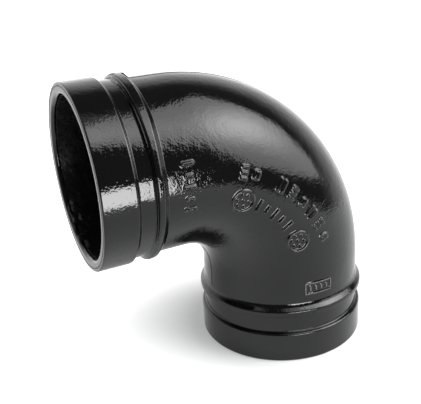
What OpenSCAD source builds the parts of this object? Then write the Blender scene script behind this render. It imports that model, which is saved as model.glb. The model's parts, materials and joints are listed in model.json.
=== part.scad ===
// Grooved-end 90 degree elbow, cast in one piece and enamelled inside and out.
// It stands on its lower end. The origin is the centre of the lower end face, +Z is up along the
// lower leg, and the side leg points along -X. The bend lies in the plane y = 0.
// Sizes are those of the finished surface, over the enamel.

/* [Pipe size] */
// Outside diameter of the lands at both ends
pipe_od = 88.9; // [88.5:0.1:89.3]
// Distance from the end face of one leg to the axis of the other
centre_to_end = 107.95; // [106:0.05:120]
// Radius of the bend, measured on the centre line
bend_r = 63.5; // [60:0.5:65]
// Outside diameter of the plain tube between the beads
tube_od = 84.4; // [84:0.1:84.8]
// Diameter of the waterway
bore_d = 77.8; // [74:0.1:78]

/* [Grooved ends] */
// Length of the land between an end face and its groove
land_len = 15.88; // [14:0.01:16]
// Depth of the grooves below the land
groove_depth = 1.98; // [1.6:0.01:2.1]
// Width of the groove floor at the side end
side_groove_w = 7.95; // [7:0.05:9]
// Width of the groove floor at the lower end
lower_groove_w = 9.6; // [8:0.05:10]
// Width of the beads over their flat top
crest_w = 2.4; // [2:0.1:3.5]
// Outside diameter of the beads
bead_od = 89.5; // [89.4:0.1:91]
// Rounding at the outer edge of the end faces
rim_round = 0.8; // [0.5:0.1:1]
// Rounding at the mouths of the waterway
mouth_round = 1.5; // [0.5:0.1:2]
// Rounding of the land's groove edge and of the beads
edge_round = 0.6; // [0.3:0.1:0.8]

/* [Enamel] */
// Thickness of the enamel film
film_t = 0.2; // [0.1:0.05:0.25]

/* [Cast marks] */
// Height of the raised marks above the tube
mark_rise = 0.8; // [0.5:0.1:1]
// Length of an upright mark
mark_len = 6.6; // [5:0.1:7]
// Width of a raised stroke
stroke = 1.4; // [1:0.1:1.8]
// Outside diameter of the two raised rings
ring_d = 11.6; // [9:0.2:12]
// Height of the mould line above the tube
seam_rise = 0.25; // [0.1:0.05:0.3]

/* [Hidden] */
$fn = 96;

land_r = pipe_od / 2;
groove_r = land_r - groove_depth;
tube_r = tube_od / 2;
bead_r = bead_od / 2;
bore_r = bore_d / 2;
leg_len = centre_to_end - bend_r;   // straight part of each leg
run_out = 5;                        // how far a cutting tool runs past an end face
front_slope = 1.2;                  // run of a bead's sloping front wall
back_slope = 2.5;                   // run of a bead's sloping back
seam_r = 0.6;                       // section radius of the mould line
mark_root = 1.5;                    // depth of a mark's root in the wall
mark_reach = 6;                     // height of a mark before it is cut to mark_rise
dot_r = 0.7;                        // raised dots in the rings

// The two marked rows on the bend lie either side of its middle, at these angles round the tube.
outer_row = 83;
inner_row = 101;
row_start = 52.6;                   // first mark after the gap in the outer row
row_pitch = 6.66;
row_count = 6;
pair_start = 70.8;                  // the two marks before the gap
pair_pitch = 5.4;
short_start = 57.9;
short_pitch = 5.35;
short_count = 5;
ring_turns = [67.3, 25.2];
ring_line = 1;
ring_dots = 6;
stack_from_end = 40;                // the stack of short marks beside the side bead
stack_start = 75.5;
stack_pitch = 7.2;
stack_count = 5;
tag_z = 40.1;
tag_around = 92.8;
tag_w = 15.2;
tag_h = 6.6;
tag_line = 0.8;
tag_bars = 4;

iron = "dimgray";
enamel = [0.03, 0.03, 0.035];

// Points along an arc about [cr, cz], from angle a0 to a1.
function arc(cr, cz, r, a0, a1, steps = 4) =
    [for (i = [0 : steps])
        let (a = a0 + (a1 - a0) * i / steps) [cr + r * cos(a), cz + r * sin(a)]];

// Distance from an end face to the back edge of its bead's crest.
function crest_end(groove_w) = land_len + groove_w + front_slope + crest_w;

// How far the corners of a sloping wall move along the leg when the surface goes down by inset.
function corner_shift(run, rise, inset) = inset * tan((90 - atan(run / rise)) / 2);

// Half section of one leg, solid to the axis. inset is the depth below the finished surface.
module leg_section(groove_w, inset) {
    land_end = land_len - inset;
    foot = land_len + groove_w + corner_shift(front_slope, bead_r - groove_r, inset);
    back = crest_end(groove_w) - corner_shift(back_slope, bead_r - tube_r, inset);
    polygon(concat(
        [[0, inset]],
        arc(land_r - inset - rim_round, inset + rim_round, rim_round, -90, 0),
        arc(land_r - inset - edge_round, land_end - edge_round, edge_round, 0, 90),
        [[groove_r - inset, land_end], [groove_r - inset, foot]],
        arc(bead_r - inset - edge_round, foot + front_slope + edge_round, edge_round, -65, 0),
        arc(bead_r - inset - edge_round, back - edge_round, edge_round, 0, 45),
        [[tube_r - inset, back + back_slope], [tube_r - inset, leg_len], [0, leg_len]]
    ));
}

// Takes a shape that stands on the lower end over to the side end.
module at_side_end() {
    translate([-centre_to_end, 0, centre_to_end]) rotate([0, 90, 0]) children();
}

// Sweeps a section, drawn about the centre line, round the quarter bend.
module sweep_bend() {
    translate([-bend_r, 0, leg_len]) rotate([90, 0, 0])
        rotate_extrude(angle = 90) translate([bend_r, 0]) children();
}

// Runs its children at the lower end for 0 and at the side end for 1.
module at_end(end) {
    if (end == 0) children();
    else at_side_end() children();
}

// The mould line, on the inside and outside of the bend and of the tube behind the beads.
module seam(inset) {
    seam_at = tube_r + seam_rise - seam_r;
    seam_start = [crest_end(lower_groove_w) + 1, crest_end(side_groove_w) + 1];
    for (side = [-1, 1]) {
        sweep_bend() translate([side * seam_at, 0]) circle(seam_r - inset);
        for (end = [0, 1])
            at_end(end) translate([side * seam_at, 0, seam_start[end]])
                cylinder(h = leg_len - seam_start[end], r = seam_r - inset);
    }
}

// The marks are flat outlines, drawn with x along the tube and y round it. inset is the depth
// below the finished surface, as for the tube, so the film covers each mark evenly.
module bar(along, round, inset) {
    square([along - 2 * inset, round - 2 * inset], center = true);
}

module dot(inset) {
    circle(dot_r - inset, $fn = 24);
}

// Marks of the long row: two upright bars, or three dashes one above the other, or a block.
module long_mark(kind, inset) {
    if (kind == 0)
        for (side = [-1, 1]) translate([side * stroke, 0]) bar(stroke, mark_len, inset);
    if (kind == 1)
        for (side = [-1 : 1])
            translate([0, side * (mark_len - stroke) / 2]) bar(stroke * 2.6, stroke, inset);
    if (kind == 2) bar(stroke * 2.6, mark_len * 0.7, inset);
}

// A plain ring about a circle of dots, like the face of a clock with no hands.
module ring_mark(inset) {
    difference() {
        circle(ring_d / 2 - inset);
        circle(ring_d / 2 - ring_line + inset);
    }
    dot(inset);
    for (a = [0 : 360 / ring_dots : 359]) rotate(a) translate([ring_d * 0.28, 0]) dot(inset);
}

module tag_mark(inset) {
    difference() {
        bar(tag_h, tag_w, inset);
        bar(tag_h - 2 * tag_line, tag_w - 2 * tag_line, -inset);
    }
    for (i = [1 : tag_bars])
        translate([0, tag_w * (i / (tag_bars + 1) - 0.5)]) bar(tag_h * 0.45, tag_line * 1.2, inset);
}

// Raises a flat mark from the tube, z along a leg. around is the angle round the tube from the
// outside of the bend towards -Y.
module on_tube(z, around) {
    rotate([0, 0, -around]) translate([tube_r - mark_root, 0, z]) rotate([0, 90, 0])
        linear_extrude(mark_reach) children();
}

// The same on the bend, turn being the angle round the bend from the lower leg.
module on_bend(turn, around) {
    translate([-bend_r, 0, leg_len]) rotate([0, -turn, 0]) translate([bend_r, 0, 0])
        on_tube(0, around) children();
}

// Marks on the bend, cut to an even height above the tube.
module bend_marks(inset) {
    intersection() {
        sweep_bend() circle(tube_r + mark_rise - inset);
        union() {
            for (i = [0 : row_count - 1])
                on_bend(row_start - i * row_pitch, outer_row) long_mark(i % 3, inset);
            for (i = [0 : 1]) on_bend(pair_start - i * pair_pitch, outer_row) long_mark(i + 1, inset);
            for (i = [0 : short_count - 1])
                on_bend(short_start - i * short_pitch, inner_row)
                    bar(stroke, mark_len * (i % 2 ? 0.65 : 1), inset);
            for (turn = ring_turns) on_bend(turn, inner_row) ring_mark(inset);
        }
    }
}

// The framed tag above the lower bead and the stack of short marks beside the side bead.
module leg_marks(inset) {
    intersection() {
        cylinder(h = leg_len, r = tube_r + mark_rise - inset);
        on_tube(tag_z, tag_around) tag_mark(inset);
    }
    at_side_end() mirror([1, 0, 0]) intersection() {
        cylinder(h = leg_len, r = tube_r + mark_rise - inset);
        for (i = [0 : stack_count - 1])
            on_tube(stack_from_end, stack_start + i * stack_pitch)
                bar(mark_len * (i % 2 ? 0.6 : 0.9), stroke * 1.3, inset);
    }
}

// The whole elbow, solid through, at inset below the finished surface.
module outside(inset) {
    rotate_extrude() leg_section(lower_groove_w, inset);
    at_side_end() rotate_extrude() leg_section(side_groove_w, inset);
    sweep_bend() circle(tube_r - inset);
    seam(inset);
    bend_marks(inset);
    leg_marks(inset);
}

// Half section of one leg of the waterway, with its rounded mouth.
module leg_waterway(grow, past) {
    mouth_r = bore_r + mouth_round;
    polygon(concat(
        [[0, -past], [mouth_r, -past]],
        arc(mouth_r, mouth_round, mouth_round - grow, -90, -180),
        [[bore_r + grow, leg_len], [0, leg_len]]
    ));
}

// The waterway, opened by grow all round, and run past the end faces by past.
module waterway(grow, past) {
    for (end = [0, 1]) at_end(end) rotate_extrude() leg_waterway(grow, past);
    sweep_bend() circle(bore_r + grow);
}

module elbow_casting() {
    color(iron) difference() {
        outside(film_t);
        waterway(film_t, run_out);
    }
}

module outer_coating() {
    color(enamel) difference() {
        outside(0);
        union() {
            outside(film_t);
            waterway(film_t, run_out);
        }
    }
}

module bore_lining() {
    color(enamel) difference() {
        waterway(film_t, 0);
        waterway(0, run_out);
    }
}

elbow_casting();
outer_coating();
bore_lining();
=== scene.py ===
"""Looks of the grooved-end elbow: glossy black enamel over a cast body, on a white table.

The elbow is described along its centre line. A place on it is (path, radius, around): path is the
distance along the centre line from the lower end face, radius the distance from that line, and
around the angle round it, in degrees, from the outside of the bend towards -Y. Lengths are in
millimetres until a mesh is made, because every size of the part is a round number of them.
"""
import json
import math
from itertools import product

import bpy
import numpy as np
from mathutils import Matrix, Vector


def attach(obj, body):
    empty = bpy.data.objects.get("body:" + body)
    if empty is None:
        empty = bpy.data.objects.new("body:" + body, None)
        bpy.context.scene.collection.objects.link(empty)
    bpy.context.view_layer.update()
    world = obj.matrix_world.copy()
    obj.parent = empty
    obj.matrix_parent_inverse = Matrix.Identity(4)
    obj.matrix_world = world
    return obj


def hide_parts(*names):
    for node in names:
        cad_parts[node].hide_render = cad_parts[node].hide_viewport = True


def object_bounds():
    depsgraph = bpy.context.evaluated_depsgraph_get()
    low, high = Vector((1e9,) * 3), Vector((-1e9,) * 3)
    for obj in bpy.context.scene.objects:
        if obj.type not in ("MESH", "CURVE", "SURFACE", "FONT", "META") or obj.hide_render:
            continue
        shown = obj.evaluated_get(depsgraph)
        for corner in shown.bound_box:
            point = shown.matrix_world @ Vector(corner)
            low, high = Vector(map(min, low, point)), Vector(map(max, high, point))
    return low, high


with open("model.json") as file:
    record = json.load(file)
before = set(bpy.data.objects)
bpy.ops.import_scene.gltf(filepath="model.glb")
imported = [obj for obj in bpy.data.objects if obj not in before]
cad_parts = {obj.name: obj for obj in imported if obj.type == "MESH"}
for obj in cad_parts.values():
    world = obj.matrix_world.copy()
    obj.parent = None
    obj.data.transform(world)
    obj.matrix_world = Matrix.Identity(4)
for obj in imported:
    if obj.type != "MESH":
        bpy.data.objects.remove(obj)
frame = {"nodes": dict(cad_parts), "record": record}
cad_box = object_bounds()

MM = 0.001
MOUNTS = {m["name"]: m for m in frame["record"]["mounts"]}

# Rounding at the mouths of the waterway, as in the part. A bore's stated wall starts behind it.
MOUTH_ROUND = 1.5

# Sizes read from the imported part.
LAND_R = MOUNTS["lower_spigot"]["dims"]["r_mm"]
BORE_R = MOUNTS["lower_bore"]["dims"]["r_mm"]
LEG_LEN = MOUTH_ROUND + MOUNTS["lower_bore"]["dims"]["length_mm"]
CENTRE_TO_END = -MOUNTS["side_face"]["pos_m"][0] / MM
BEAD_R = cad_box[1].y / MM
BEND_R = CENTRE_TO_END - LEG_LEN
BEND_LEN = BEND_R * math.pi / 2
PATH_LEN = 2 * LEG_LEN + BEND_LEN

# Sizes of the grooved ends, as in the part.
TUBE_R = 42.2
GROOVE_DEPTH = 1.98
GROOVE_R = LAND_R - GROOVE_DEPTH
LAND_LEN = 15.88
SIDE_GROOVE_W = 7.95
LOWER_GROOVE_W = 9.6
CREST_W = 2.4
FRONT_SLOPE = 1.2
BACK_SLOPE = 2.5
RIM_ROUND = 0.8

# Shapes of the grooved ends that the part doesn't have, or has with a smaller rounding.
SIDE_LAND_SLOPE = 1.2
LOWER_LAND_SLOPE = 0.5
LAND_ROUND = 1.2
LAND_FOOT_ROUND = 0.7
EDGE_ROUND = 0.7
FLOOR_ROUND = 1.0

# A fine line turned in each end face: depth and radius of its corners, and their rounding.
RIM_LINE = ((0.0, 42.3), (0.6, 42.6), (0.0, 43.2))
RIM_LINE_ROUND = 0.12

# A bead's crest: its fall towards the back edge, and the radii at that edge and at the foot behind.
SIDE_CREST = (0.08, 1.7, 0.8)
LOWER_CREST = (0.0, 1.3, 3.0)

# The small ledge on a bead's front wall: distance from the wall's foot, radius and rounding of its
# corners. The bead over the top of the side leg has its own, and stands higher and reaches further.
LEDGE = ((0.0, GROOVE_R, FLOOR_ROUND), (0.5, 43.52, 0.1), (0.7, 43.72, 0.1))
TOP_LEDGE = ((-1.1, GROOVE_R, 0.5), (-0.4, 44.2, 0.35), (0.2, 43.8, 0.12))
TOP_FRONT = (0.7, BEAD_R + 0.2, 0.9)
TOP_BACK_R = BEAD_R + 0.15
TOP_REACH = 0.6

# Where the top of the side leg begins, as the cosine of the angle round the tube, and its blend.
TOP_FROM = 0.25
TOP_BLEND = 0.55

# The step of the side bead between the halves of the mould, and its span from the side end face.
MOULD_SHIFT = 1.5
SHIFT_FROM = 20.5
SHIFT_TO = 34

# How far the corners of a sloping wall move along the leg for each unit a skin lies deeper.
SLOPE_RUN = 0.6

# The enamel: its own thickness in this model, how far it wraps into the bore, and the gap left
# between the coat's wrapped edge and the lining.
FILM_T = 0.12
WRAP = 2.5
WRAP_GAP = 0.02

# Raised marks, placed as in the part and of about its sizes. Their heights are this model's own.
MARK_RISE = 1.05
TAG_RISE = 0.45
MARK_LEN = 6.6
STROKE = 1.4
OUTER_ROW = 83
INNER_ROW = 101
ROW_START = 52.6
ROW_PITCH = 6.66
ROW_COUNT = 6
PAIR_START = 70.8
PAIR_PITCH = 5.4
SHORT_START = 57.9
SHORT_PITCH = 5.35
SHORT_COUNT = 5
RING_TURNS = (67.3, 25.2)
RING_D = 11.6
RING_LINE = 1.0
RING_DOTS = 6
STACK_FROM_END = 40
STACK_START = 75.5
STACK_PITCH = 7.2
STACK_COUNT = 5
TAG_Z = 40.1
TAG_AROUND = 92.8
TAG_W = 15.2
TAG_H = 6.6
TAG_LINE = 0.8
TAG_BARS = 4

# Half the width of a mark's soft edge, and how far that edge lies inside the outline.
MARK_SOFT = 0.62
TAG_SOFT = 0.35
EDGE_IN = 0.15

# Dots of the rings, a little larger than in the part.
DOT_R = 0.75

# The ridge at the mould line: its height and the half width at which it has mostly gone.
SEAM_RISE = 0.26
SEAM_HALF_W = 0.5

# Unevenness of the cast outside: height and size of each layer of noise.
CAST_NOISE = ((0.045, 13), (0.025, 6), (0.011, 3.1))

# Lumps of the cast bore, and the place round the tube and the reach of the largest ones.
LUMP_RISE = 0.4
GRAIN_RISE = 0.22
LARGEST_RISE = 1.1
LARGEST_AROUND = -150
LARGEST_SPREAD = 24
LARGEST_REACH = 12

# Steps of the outside mesh: under the marks and elsewhere on the legs and on the bend, in
# millimetres; the margin about the marks; and the marked parts of the bend and of the tube.
FINE = 0.4
LEG_STEP = 1.3
BEND_STEP = 1.5
MARK_MARGIN = 0.8
MARK_TURNS = (15, 74)
MARK_BAND = (68, 114)


# ---------------------------------------------------------------- noise and small maths

def smooth(t):
    """0 below t = 0, 1 above t = 1, and an even slope between."""
    t = np.clip(t, 0, 1)
    return t * t * (3 - 2 * t)


def noise(points, size, seed):
    """Smooth noise from -1 to 1, with features about size across, the same on every run."""
    grid = points / size
    cell = np.floor(grid).astype(np.int64)
    t = grid - cell
    t = t * t * t * (t * (t * 6 - 15) + 10)
    total = np.zeros(points.shape[:-1])
    for corner in product((0, 1), repeat=3):
        at = cell + corner
        mix = at[..., 0] * 73856093 ^ at[..., 1] * 19349663 ^ at[..., 2] * 83492791 ^ seed * 2654435761
        mix = (mix ^ (mix >> 13)) * 1274126177 & 0x7FFFFFFF
        mix = (mix ^ (mix >> 15)) * 668265263 & 0x7FFFFFFF
        weight = np.prod(np.where(corner, t, 1 - t), axis=-1)
        total += weight * (mix / 0x3FFFFFFF - 1)
    return total


# ---------------------------------------------------------------- the centre line

def place(path, radius, around):
    """Points in space, in millimetres, for arrays of places on the elbow."""
    path, radius, around = np.broadcast_arrays(path, radius, np.radians(around))
    turn = np.clip((path - LEG_LEN) / BEND_R, 0, math.pi / 2)
    below = np.minimum(path - LEG_LEN, 0)
    beyond = np.maximum(path - LEG_LEN - BEND_LEN, 0)
    reach = BEND_R + radius * np.cos(around)
    x = reach * np.cos(turn) - BEND_R - beyond
    z = reach * np.sin(turn) + LEG_LEN + below
    return np.stack([x, -radius * np.sin(around), z], axis=-1)


# ---------------------------------------------------------------- sections

def rounded(corners, steps, guard=0.12):
    """A line through corners (along, radius, rounding), with each inner corner turned on an arc.
    A point guard before and after each arc keeps the shading of the straight parts even."""
    first, last = np.array(corners[0][:2], float), np.array(corners[-1][:2], float)
    points = [first, first + guard * np.sign(np.array(corners[1][:2]) - first)]
    for before, corner, after in zip(corners, corners[1:], corners[2:]):
        at = np.array(corner[:2], float)
        back = np.array(before[:2]) - at
        on = np.array(after[:2]) - at
        back, on = back / np.linalg.norm(back), on / np.linalg.norm(on)
        half = math.acos(np.clip(back @ on, -1, 1)) / 2
        centre = at + (back + on) / np.linalg.norm(back + on) * corner[2] / math.sin(half)
        start = at + back * corner[2] / math.tan(half) - centre
        end = at + on * corner[2] / math.tan(half) - centre
        sweep = math.pi - 2 * half
        points.append(centre + start + back * guard)
        for i in range(steps + 1):
            t = i / steps
            turned = start * math.sin((1 - t) * sweep) + end * math.sin(t * sweep)
            points.append(centre + turned / math.sin(sweep))
        points.append(centre + end + on * guard)
    return np.array(points + [last])


def filled(points, gap_at):
    """The same line with points added, so that no step is longer than gap_at says."""
    out = [points[0]]
    for a, b in zip(points, points[1:]):
        count = max(1, math.ceil(np.linalg.norm((b - a)[:2]) / gap_at((a[0] + b[0]) / 2)))
        out += [a + (b - a) * (i + 1) / count for i in range(count)]
    return np.array(out)


def leg_line(groove_w, land_slope, inset, crest, top=False):
    """Section of one grooved end from inside the bore to the start of the bend, inset below the
    surface. crest is the shape of the bead's crest, and top gives the wider bead found over the
    top of the side leg."""
    foot = LAND_LEN + groove_w + inset * SLOPE_RUN
    back = foot + FRONT_SLOPE + CREST_W - inset
    fall, edge_round, foot_round = crest
    if top:
        front = TOP_LEDGE + (TOP_FRONT,)
        rear = [(back + TOP_REACH, TOP_BACK_R, EDGE_ROUND),
                (back + TOP_REACH + BACK_SLOPE, TUBE_R, foot_round)]
    else:
        front = LEDGE + ((FRONT_SLOPE, BEAD_R, EDGE_ROUND),)
        rear = [(back, BEAD_R - fall, edge_round), (back + BACK_SLOPE, TUBE_R, foot_round)]
    bead = [(foot + along, radius, rounding) for along, radius, rounding in front] + rear
    return rounded([
        (WRAP, BORE_R + inset),
        (inset, BORE_R + inset, MOUTH_ROUND - inset),
        *[(along + inset, radius, RIM_LINE_ROUND) for along, radius in RIM_LINE],
        (inset + RIM_LINE[-1][0], LAND_R - inset, RIM_ROUND),
        (LAND_LEN - inset * SLOPE_RUN, LAND_R - inset, LAND_ROUND),
        (LAND_LEN + land_slope - inset * SLOPE_RUN, GROOVE_R - inset, LAND_FOOT_ROUND),
        *[(along, radius - inset, rounding) for along, radius, rounding in bead],
        (LEG_LEN, TUBE_R - inset),
    ], steps=1 if inset else 5)


def behind_bead(path):
    """Distance along the plain tube from the nearer bead's back."""
    bead = LAND_LEN + FRONT_SLOPE + CREST_W + BACK_SLOPE
    return np.minimum(path - bead - LOWER_GROOVE_W, PATH_LEN - path - bead - SIDE_GROOVE_W)


def whole_line(inset, gaps):
    """The section along the whole path, as (path, radius) for most places round the tube and
    then for the top of the side leg. gaps gives the longest step on the lower leg, on the bend at
    a turn in degrees, and on the side leg."""
    lower = leg_line(LOWER_GROOVE_W, LOWER_LAND_SLOPE, inset, LOWER_CREST)
    lower = filled(np.hstack([lower, lower]), gaps[0])
    side = [leg_line(SIDE_GROOVE_W, SIDE_LAND_SLOPE, inset, SIDE_CREST, top) for top in (False, True)]
    side = filled(np.hstack(side), gaps[2])[::-1]
    side = side * (-1, 1, -1, 1) + (PATH_LEN, 0, PATH_LEN, 0)
    turns = [0.0]
    while turns[-1] < 90:
        turns.append(turns[-1] + math.degrees(gaps[1](turns[-1]) / BEND_R))
    path = LEG_LEN + np.radians(turns[1:-1]) * BEND_R
    radius = np.full(len(path), TUBE_R - inset)
    return np.concatenate([lower, np.stack([path, radius, path, radius], 1), side])


def round_the_tube(line, around):
    """Path and radius of every point of a skin, from its section and the angles round the tube.
    On the far half of the mould the side bead stands a little further from its end face."""
    top = smooth((np.cos(np.radians(around)) - TOP_FROM) / TOP_BLEND)
    path = line[:, :1] + (line[:, 2:3] - line[:, :1]) * top
    radius = line[:, 1:2] + (line[:, 3:] - line[:, 1:2]) * top
    from_end = PATH_LEN - path
    at_bead = smooth((from_end - SHIFT_FROM) / 1.5) * smooth((SHIFT_TO - from_end) / 2.5)
    far_half = smooth(-around / 2) * smooth((around + 130) / 50)
    return path - MOULD_SHIFT * at_bead * far_half, radius


def fine_gaps():
    """Steps for the outside: short under the marks, longer elsewhere."""
    tag = (TAG_Z - TAG_H / 2 - MARK_MARGIN, TAG_Z + TAG_H / 2 + MARK_MARGIN)
    stack = (STACK_FROM_END - MARK_LEN / 2 - MARK_MARGIN, STACK_FROM_END + MARK_LEN / 2 + MARK_MARGIN)
    return (
        lambda s: FINE if tag[0] < s < tag[1] else LEG_STEP,
        lambda turn: FINE if MARK_TURNS[0] < turn < MARK_TURNS[1] else BEND_STEP,
        lambda s: FINE if stack[0] < s < stack[1] else LEG_STEP,
    )


def coarse_gaps():
    """Steps for the plain inner skin, which is never seen."""
    return (lambda s: 4, lambda turn: 5, lambda s: 4)


def around_steps():
    """Angles round the tube: close together under the marks and at the two mould lines."""
    angles = [-180.0]
    while angles[-1] < 180:
        a = angles[-1]
        to_marks = max(MARK_BAND[0] - a, a - MARK_BAND[1], 0)
        to_seam = min(abs(a), 180 - abs(a))
        step = min(0.5 + 2.1 * smooth(to_marks / 14), 0.4 + 2.2 * smooth((to_seam - 1.2) / 8))
        angles.append(a + float(step))
    angles = np.array(angles)
    return -180 + (angles[:-1] + 180) * 360 / (angles[-1] + 180)


# ---------------------------------------------------------------- raised marks and cast surface

def bar(u, v, along, round_):
    """Distance outside a bar with rounded corners, negative inside."""
    corner = min(along, round_) * 0.35
    du = np.abs(u) - along / 2 + corner
    dv = np.abs(v) - round_ / 2 + corner
    return np.hypot(np.maximum(du, 0), np.maximum(dv, 0)) + np.minimum(np.maximum(du, dv), 0) - corner


def dot(u, v):
    """Distance outside a dot."""
    return np.hypot(u, v) - DOT_R


def long_mark(kind, u, v):
    """Two upright bars, or three dashes one above the other, or a block."""
    if kind == 0:
        return np.minimum(bar(u - STROKE, v, STROKE, MARK_LEN), bar(u + STROKE, v, STROKE, MARK_LEN))
    if kind == 1:
        rows = [bar(u, v - side * (MARK_LEN - STROKE) / 2, STROKE * 2.6, STROKE) for side in (-1, 0, 1)]
        return np.min(rows, axis=0)
    return bar(u, v, STROKE * 2.6, MARK_LEN * 0.7)


def ring_mark(u, v):
    """A plain ring about a circle of dots and one dot in the middle."""
    ring = np.abs(np.hypot(u, v) - (RING_D - RING_LINE) / 2) - RING_LINE / 2
    shape = np.minimum(ring, dot(u, v))
    reach = RING_D * 0.28
    for i in range(RING_DOTS):
        a = i * 2 * math.pi / RING_DOTS
        shape = np.minimum(shape, dot(u - reach * math.cos(a), v - reach * math.sin(a)))
    return shape


def tag_mark(u, v):
    """A frame with a few short bars in it."""
    shape = np.abs(bar(u, v, TAG_H - TAG_LINE, TAG_W - TAG_LINE)) - TAG_LINE / 2
    for i in range(1, TAG_BARS + 1):
        at = TAG_W * (i / (TAG_BARS + 1) - 0.5)
        shape = np.minimum(shape, bar(u, v - at, TAG_H * 0.45, 1.0))
    return shape


def raised(outside, soft):
    """1 well inside an outline and 0 well outside it, with a soft edge between."""
    return smooth((soft - EDGE_IN - outside) / (2 * soft))


def marks(path, around):
    """Height of the raised marks over the tube."""
    turn = np.degrees((path - LEG_LEN) / BEND_R)
    near = (BEND_R + TUBE_R * np.cos(np.radians(around))) * math.pi / 180

    def on_bend(at, row):
        return (turn - at) * near, (around - row) * TUBE_R * math.pi / 180

    def on_leg(at, row):
        return path - at, (around - row) * TUBE_R * math.pi / 180

    shapes = [long_mark(i % 3, *on_bend(ROW_START - i * ROW_PITCH, OUTER_ROW)) for i in range(ROW_COUNT)]
    shapes += [long_mark(i + 1, *on_bend(PAIR_START - i * PAIR_PITCH, OUTER_ROW)) for i in range(2)]
    for i in range(SHORT_COUNT):
        u, v = on_bend(SHORT_START - i * SHORT_PITCH, INNER_ROW)
        shapes.append(bar(u, v, STROKE, MARK_LEN * (0.65 if i % 2 else 1)))
    shapes += [ring_mark(*on_bend(at, INNER_ROW)) for at in RING_TURNS]
    for i in range(STACK_COUNT):
        u, v = on_leg(PATH_LEN - STACK_FROM_END, STACK_START + i * STACK_PITCH)
        shapes.append(bar(u, v, MARK_LEN * (0.6 if i % 2 else 0.9), STROKE * 1.3))
    tag = TAG_RISE * raised(tag_mark(*on_leg(TAG_Z, TAG_AROUND)), TAG_SOFT)
    return np.maximum(MARK_RISE * raised(np.min(shapes, axis=0), MARK_SOFT), tag)


def mould_line(path, around):
    """The thin ridge where the two halves of the mould met, on the bend and the plain tube."""
    off = np.minimum(np.abs(around), 180 - np.abs(around)) * TUBE_R * math.pi / 180
    return SEAM_RISE * np.exp(-(off / SEAM_HALF_W) ** 2) * smooth(behind_bead(path) / 2)


def outside_relief(path, around, points):
    """How far the enamel's surface stands off the plain section, everywhere on the outside."""
    cast = sum(rise * noise(points, size, seed) for seed, (rise, size) in enumerate(CAST_NOISE, 1))
    on_tube = smooth(behind_bead(path) / 1.5)
    return cast * (0.6 + 0.4 * on_tube) + marks(path, around) + mould_line(path, around)


def bore_relief(path, around, points):
    """Lumps of the rough cast bore, standing into the waterway only. They are largest near the
    side mouth, low down on the far half."""
    lumps = 0.5 + 0.5 * noise(points, 7, 11)
    grain = 0.5 + 0.5 * noise(points, 2.2, 12)
    low_down = np.exp(-((around - LARGEST_AROUND) / LARGEST_SPREAD) ** 2)
    largest = low_down * smooth((LARGEST_REACH - PATH_LEN + path) / 9)
    height = LUMP_RISE * lumps ** 2 + (GRAIN_RISE + LARGEST_RISE * largest) * grain ** 2
    return smooth(np.minimum(path, PATH_LEN - path) / 1.8) * height


# ---------------------------------------------------------------- meshes

def loop_mesh(name, rings):
    """A closed mesh from rings of points (ring, point, xyz), joined round each ring, ring to ring,
    and the last ring to the first."""
    count, size = rings.shape[:2]
    index = np.arange(count * size).reshape(count, size)
    on = np.roll(index, -1, axis=0)
    quads = np.stack([index, np.roll(index, -1, axis=1), np.roll(on, -1, axis=1), on], axis=-1)
    quads = quads.reshape(-1, 4)
    verts = rings.reshape(-1, 3) * MM
    a, b, c, d = (verts[quads[:, i]] for i in range(4))
    volume = np.einsum("ij,ij->", a, np.cross(b, c) + np.cross(c, d))
    if volume < 0:
        quads = quads[:, ::-1]
    mesh = bpy.data.meshes.new(name)
    mesh.vertices.add(len(verts))
    mesh.vertices.foreach_set("co", verts.ravel())
    mesh.loops.add(quads.size)
    mesh.loops.foreach_set("vertex_index", quads.ravel())
    mesh.polygons.add(len(quads))
    mesh.polygons.foreach_set("loop_start", np.arange(0, quads.size, 4))
    mesh.update(calc_edges=True)
    mesh.validate()
    mesh.polygons.foreach_set("use_smooth", np.ones(len(quads), bool))
    piece = bpy.data.objects.new(name, mesh)
    bpy.context.scene.collection.objects.link(piece)
    return piece


def line_normals(line):
    """Unit normals of a section line, pointing out of the metal."""
    tangent = np.gradient(line, axis=0)
    normal = np.stack([-tangent[:, 1], tangent[:, 0]], axis=1)
    return normal / np.linalg.norm(normal, axis=1)[:, None]


def make_coat():
    """The outside film: a detailed outer skin, and a plain inner skin FILM_T below it."""
    around = around_steps()[None, :]
    outer = whole_line(0, fine_gaps())
    path, radius = round_the_tube(outer, around)
    points = place(path, radius, around)
    in_mouth = (radius < LAND_R - RIM_ROUND) & (np.minimum(path, PATH_LEN - path) < WRAP + 0.1)
    relief = np.where(in_mouth, bore_relief(path, around, points), outside_relief(path, around, points))
    normal = line_normals(outer[:, :2])
    skin = place(path + relief * normal[:, :1], radius + relief * normal[:, 1:], around)
    back = place(*round_the_tube(whole_line(FILM_T, coarse_gaps())[::-1], around), around)
    return loop_mesh("enamel_coat", np.concatenate([skin, back]))


def make_lining():
    """The film in the bore, from one wrapped edge of the coat to the other."""
    around = np.linspace(-180, 180, 260, endpoint=False)
    ends = (WRAP + WRAP_GAP, PATH_LEN - WRAP - WRAP_GAP)
    path = np.linspace(*ends, 230)[:, None]
    path = np.concatenate([path[:1], path[:1] + 0.1, path[1:-1], path[-1:] - 0.1, path[-1:]])
    relief = bore_relief(path, around[None, :], place(path, BORE_R, around[None, :]))
    skin = place(path, BORE_R - relief, around[None, :])
    path = np.linspace(*ends, 40)[::-1, None]
    back = place(path, BORE_R + FILM_T, around[None, :])
    return loop_mesh("enamel_bore_lining", np.concatenate([skin, back]))


# ---------------------------------------------------------------- materials

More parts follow.
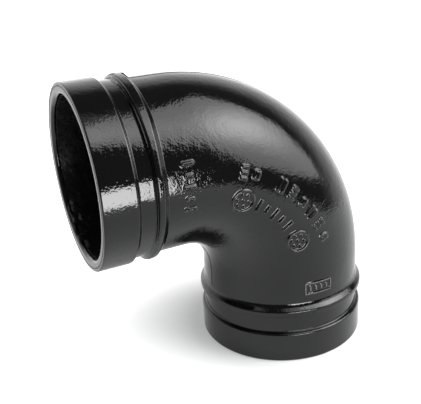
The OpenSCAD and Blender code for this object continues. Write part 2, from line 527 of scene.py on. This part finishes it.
class Nodes:
    """Short calls for building a node tree."""

    def __init__(self, tree):
        self.tree = tree
        tree.nodes.clear()

    def add(self, kind, **inputs):
        node = self.tree.nodes.new(kind)
        for name, value in inputs.items():
            self.set(node, name, value)
        return node

    def set(self, node, name, value):
        key = int(name[1:]) if name[0] == "i" and name[1:].isdigit() else name.replace("_", " ")
        if isinstance(value, bpy.types.NodeSocket):
            self.tree.links.new(value, node.inputs[key])
        else:
            node.inputs[key].default_value = value

    def math(self, operation, *values):
        node = self.tree.nodes.new("ShaderNodeMath")
        node.operation = operation
        for i, value in enumerate(values):
            self.set(node, f"i{i}", value)
        return node.outputs[0]

    def is_camera(self):
        return self.add("ShaderNodeLightPath").outputs["Is Camera Ray"]

    def distance(self, a, b):
        node = self.add("ShaderNodeVectorMath", i0=a, i1=b)
        node.operation = "DISTANCE"
        return node.outputs["Value"]

    def along(self, vector, direction):
        node = self.add("ShaderNodeVectorMath", i0=vector, i1=direction)
        node.operation = "DOT_PRODUCT"
        return node.outputs["Value"]

    def noise(self, vector, size, detail=2.0, roughness=0.5):
        return self.add("ShaderNodeTexNoise", Vector=vector, Scale=1 / size, Detail=detail,
                        Roughness=roughness).outputs[0]

    def ramp(self, value, low, high, out_low, out_high):
        node = self.add("ShaderNodeMapRange", Value=value)
        for i, x in enumerate((low, high, out_low, out_high)):
            node.inputs[i + 1].default_value = x
        return node.outputs[0]


def enamel_material(name, peel, grain, shade, gloss):
    """Black enamel that has flowed over a cast surface. peel is the height of its orange-peel
    texture and grain that of the coarser cast texture beneath, both in metres. shade is how light
    the black is, and gloss holds the least and the greatest roughness."""
    material = bpy.data.materials.new(name)
    material.use_nodes = True
    n = Nodes(material.node_tree)
    here = n.add("ShaderNodeTexCoord").outputs["Object"]
    blotch = n.noise(here, 0.018, 3)
    fine = n.noise(here, 0.001, 2)
    medium = n.noise(here, 0.0027, 2)
    coarse = n.noise(here, 0.008, 2)
    colour = n.add("ShaderNodeMix")
    colour.data_type = "RGBA"
    n.set(colour, "i0", blotch)
    colour.inputs[6].default_value = (shade * 0.8, shade * 0.82, shade * 0.86, 1)
    colour.inputs[7].default_value = (shade * 1.25, shade * 1.22, shade * 1.18, 1)
    rough = n.ramp(n.noise(here, 0.006, 4), low=0.35, high=0.7, out_low=gloss[0], out_high=gloss[1])
    bump = n.add("ShaderNodeBump", Height=coarse, Distance=grain, Strength=1.0)
    bump = n.add("ShaderNodeBump", Height=medium, Distance=peel * 1.2, Strength=1.0, Normal=bump.outputs[0])
    bump = n.add("ShaderNodeBump", Height=fine, Distance=peel * 1.05, Strength=1.0, Normal=bump.outputs[0])
    shader = n.add("ShaderNodeBsdfPrincipled", Base_Color=colour.outputs[2], Roughness=rough, IOR=1.5,
                   Normal=bump.outputs[0])
    n.add("ShaderNodeOutputMaterial", Surface=shader.outputs[0])
    return material


def iron_material():
    """Grey cast iron with a sandy surface, under the enamel."""
    material = bpy.data.materials.new("cast_iron")
    material.use_nodes = True
    n = Nodes(material.node_tree)
    here = n.add("ShaderNodeTexCoord").outputs["Object"]
    colour = n.add("ShaderNodeMix")
    colour.data_type = "RGBA"
    n.set(colour, "i0", n.noise(here, 0.004, 5, 0.6))
    colour.inputs[6].default_value = (0.09, 0.088, 0.085, 1)
    colour.inputs[7].default_value = (0.22, 0.215, 0.21, 1)
    bump = n.add("ShaderNodeBump", Height=n.noise(here, 0.0008, 3), Distance=0.0001, Strength=1.0)
    rough = n.ramp(n.noise(here, 0.002, 3), low=0.3, high=0.7, out_low=0.45, out_high=0.7)
    shader = n.add("ShaderNodeBsdfPrincipled", Base_Color=colour.outputs[2], Metallic=0.7, Roughness=rough,
                   Normal=bump.outputs[0])
    n.add("ShaderNodeOutputMaterial", Surface=shader.outputs[0])
    return material


def put(piece, material):
    """Gives a piece this material and no other."""
    piece.data.materials.clear()
    piece.data.materials.append(material)


# ---------------------------------------------------------------- studio

# The point that the lamps face, and the one that the camera looks at.
CENTRE = Vector((-0.04, 0, 0.08))
TARGET = Vector((-0.0398, 0, 0.0808))

# The camera: where it stands as seen from its target, its lens and its tilt to one side.
CAMERA_AZIMUTH = -24.2
CAMERA_ELEVATION = 21.7
CAMERA_DISTANCE = 0.3376
CAMERA_ROLL = -3.8
LENS = 55.9
SENSOR_WIDTH = 36

# The table's outline and how far its top lies below the elbow's foot, in metres.
TABLE_OUTLINE = ((-3, -0.27), (0.3, -0.27), (0.42, -0.15), (0.42, 3), (-3, 3))
TABLE_DROP = 0.0001
TABLE_WHITE = (0.73, 0.74, 0.74, 1)

# Patches of ceiling: azimuth, elevation, the cosines at their edge and where full, brightness.
CEILING = ((30, 76, 0.965, 0.988, 0.7), (8, 62, 0.95, 0.99, 1.9), (-85, 52, 0.955, 0.98, 0.9))


def towards(azimuth, elevation):
    """Unit vector. Azimuth 0 is towards -Y and 90 towards +X, in degrees."""
    a, e = math.radians(azimuth), math.radians(elevation)
    return Vector((math.sin(a) * math.cos(e), -math.cos(a) * math.cos(e), math.sin(e)))


def lamp(name, azimuth, elevation, distance, width, height, brightness, edge, spread):
    """A rectangular soft lamp that faces the elbow. Away from its middle its brightness falls
    towards the part named edge, most of the way within spread, in metres."""
    data = bpy.data.lights.new(name, "AREA")
    data.shape = "RECTANGLE"
    data.size, data.size_y = width, height
    data.energy = brightness * math.pi * width * height
    data.use_nodes = True
    n = Nodes(data.node_tree)
    where = n.add("ShaderNodeSeparateXYZ", Vector=n.add("ShaderNodeNewGeometry").outputs["Parametric"])
    across = n.math("MULTIPLY", n.math("SUBTRACT", where.outputs[0], 0.5), width / spread)
    upward = n.math("MULTIPLY", n.math("SUBTRACT", where.outputs[1], 0.5), height / spread)
    off = n.math("ADD", n.math("MULTIPLY", across, across), n.math("MULTIPLY", upward, upward))
    middle = n.math("POWER", math.e, n.math("MULTIPLY", off, -1.0))
    emission = n.add("ShaderNodeEmission", Strength=n.math("MULTIPLY_ADD", middle, 1 - edge, edge))
    n.add("ShaderNodeOutputLight", Surface=emission.outputs[0])
    light = bpy.data.objects.new(name, data)
    bpy.context.scene.collection.objects.link(light)
    direction = towards(azimuth, elevation)
    light.location = CENTRE + direction * distance
    light.rotation_mode = "QUATERNION"
    light.rotation_quaternion = direction.to_track_quat("Z", "Y")
    light.visible_camera = False


def make_table():
    """A plain white table whose front edge is a little way before the elbow. To the camera it
    glows away from the elbow, and near the elbow it glows less and takes the shadow. In the enamel's
    reflections it glows more the further back it is."""
    mesh = bpy.data.meshes.new("table")
    mesh.from_pydata([(x, y, -TABLE_DROP) for x, y in TABLE_OUTLINE], [], [range(len(TABLE_OUTLINE))])
    table = bpy.data.objects.new("table", mesh)
    bpy.context.scene.collection.objects.link(table)
    material = bpy.data.materials.new("table_white")
    material.use_nodes = True
    n = Nodes(material.node_tree)
    here = n.add("ShaderNodeNewGeometry").outputs["Position"]
    white = n.add("ShaderNodeBsdfDiffuse", Color=TABLE_WHITE)
    away = n.distance(here, (0, 0, 0))
    behind = n.add("ShaderNodeSeparateXYZ", Vector=here).outputs[1]
    mirrored = n.ramp(behind, low=-0.15, high=0.3, out_low=0, out_high=0.72)
    seen = n.ramp(away, low=0.05, high=0.12, out_low=0.27, out_high=1.15)
    extra = n.math("SUBTRACT", seen, mirrored)
    glow = n.add("ShaderNodeEmission", Strength=n.math("MULTIPLY_ADD", n.is_camera(), extra, mirrored))
    both = n.add("ShaderNodeAddShader", i0=white.outputs[0], i1=glow.outputs[0])
    n.add("ShaderNodeOutputMaterial", Surface=both.outputs[0])
    put(table, material)


def make_world():
    """White to the camera. To the elbow, a white backdrop behind it, a dark room in front, and
    pale patches of ceiling above the softbox, beside it and on the left."""
    world = bpy.data.worlds.new("studio")
    bpy.context.scene.world = world
    world.use_nodes = True
    n = Nodes(world.node_tree)
    looking = n.add("ShaderNodeTexCoord").outputs["Generated"]
    to_dark = n.along(looking, towards(-5, 45))
    far = n.ramp(to_dark, low=-0.6, high=-0.12, out_low=0.75, out_high=0)
    near = n.ramp(to_dark, low=-0.12, high=0.13, out_low=0.88, out_high=0.09)
    backdrop = n.math("ADD", far, near)
    strength = n.math("MAXIMUM", n.math("MULTIPLY", n.is_camera(), 1.2), backdrop)
    for azimuth, elevation, edge, full, brightness in CEILING:
        facing = n.along(looking, towards(azimuth, elevation))
        patch = n.ramp(facing, low=edge, high=full, out_low=0, out_high=brightness)
        strength = n.math("MAXIMUM", strength, patch)
    background = n.add("ShaderNodeBackground", Color=(1, 1, 1, 1), Strength=strength)
    n.add("ShaderNodeOutputWorld", Surface=background.outputs[0])


def make_camera():
    data = bpy.data.cameras.new("camera")
    data.lens = LENS
    data.sensor_width = SENSOR_WIDTH
    data.clip_start = 0.01
    camera = bpy.data.objects.new("camera", data)
    bpy.context.scene.collection.objects.link(camera)
    back = towards(CAMERA_AZIMUTH, CAMERA_ELEVATION)
    right = Vector((0, 0, 1)).cross(back).normalized()
    turned = Matrix((right, back.cross(right), back)).transposed().to_4x4()
    roll = Matrix.Rotation(math.radians(CAMERA_ROLL), 4, "Z")
    camera.matrix_world = Matrix.Translation(TARGET + back * CAMERA_DISTANCE) @ turned @ roll
    bpy.context.scene.camera = camera


# ---------------------------------------------------------------- build

def build():
    coat = make_coat()
    put(coat, enamel_material("black_enamel", peel=0.00006, grain=0.00009, shade=0.002,
                              gloss=(0.035, 0.085)))
    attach(coat, "root")
    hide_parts("outer_coating")
    lining = make_lining()
    # The lining is the same black enamel as the coat, rougher, and painted lighter (shade 0.014 against the
    # coat's 0.002): painted light standing in for the light that reaches into the bore.
    put(lining, enamel_material("black_enamel_rough", peel=0.00009, grain=0.0004, shade=0.014,
                                gloss=(0.14, 0.34)))
    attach(lining, "root")
    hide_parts("bore_lining")
    put(frame["nodes"]["elbow_casting"], iron_material())
    make_table()
    make_world()
    lamp("softbox", azimuth=54.8, elevation=37.5, distance=1.0, width=0.98, height=1.48,
         brightness=9, edge=0.26, spread=0.33)
    lamp("strip", azimuth=0.2, elevation=-10, distance=0.6, width=0.324, height=0.23,
         brightness=15, edge=0.9, spread=0.2)
    make_camera()
    bpy.context.scene.view_settings.view_transform = "Standard"


build()
